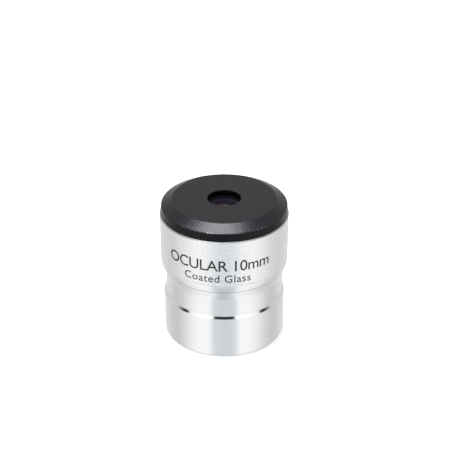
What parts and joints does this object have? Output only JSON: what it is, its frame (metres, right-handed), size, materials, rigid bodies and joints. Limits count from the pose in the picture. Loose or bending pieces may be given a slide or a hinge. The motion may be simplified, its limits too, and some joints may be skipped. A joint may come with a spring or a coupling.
{
  "type": "telescope eyepiece",
  "caption": "Telescope eyepiece with two cemented doublets in a cell, a turned barrel with a safety undercut and filter thread, a blasted housing and a screw-on black eye cap.",
  "frame": {"origin": "on the optical axis, at the barrel's open lower end", "axes": "+Z along the optical axis, from the telescope towards the eye; -Y towards the viewer who reads the marking on the housing"},
  "size_m": [0.0332, 0.0332, 0.038],
  "materials": {
    "satin_aluminium": "fine-turned, satin",
    "blasted_aluminium": "bead-blasted, clear anodised",
    "cap_anodised": "bead-blasted, black anodised",
    "black_anodised": "matt black anodised",
    "crown_glass": "polished, anti-reflection coated",
    "flint_glass": "polished, purple and green anti-reflection coating",
    "black_nylon": "matt",
    "marking_ink": "dark grey filled engraving"
  },
  "bodies": {
    "barrel": {"barrel": "satin_aluminium"},
    "barrel_washer": {"barrel_washer": "black_nylon"},
    "housing": {"housing": "blasted_aluminium", "lens_cell": "black_anodised", "eye_flint_lens": "flint_glass", "eye_crown_lens": "crown_glass", "lens_spacer": "black_anodised", "field_crown_lens": "crown_glass", "field_flint_lens": "flint_glass", "lens_retaining_ring": "black_anodised", "field_stop": "black_anodised", "cell_lock_ring": "black_anodised"},
    "cap_washer": {"cap_washer": "black_nylon"},
    "eye_cap": {"eye_cap": "cap_anodised"}
  },
  "joints": [
    {"name": "housing_lift", "type": "slide", "parent": "barrel", "child": "barrel_washer", "axis": [0, 0, 1], "range_m": [0, 0.004]},
    {"name": "housing_screw", "type": "hinge", "parent": "barrel_washer", "child": "housing", "pos_m": [0, 0, 0.0241], "axis": [0, 0, 1], "range_deg": [0, 1890]},
    {"name": "cap_lift", "type": "slide", "parent": "housing", "child": "cap_washer", "axis": [0, 0, 1], "range_m": [0, 0.0029]},
    {"name": "cap_screw", "type": "hinge", "parent": "cap_washer", "child": "eye_cap", "pos_m": [0, 0, 0.0365], "axis": [0, 0, 1], "range_deg": [0, 1350]}
  ],
  "couplings": [
    {"joint": "housing_lift", "follows": "housing_screw", "m_per_rad": 0.00011937},
    {"joint": "cap_lift", "follows": "cap_screw", "m_per_rad": 0.00011937}
  ]
}
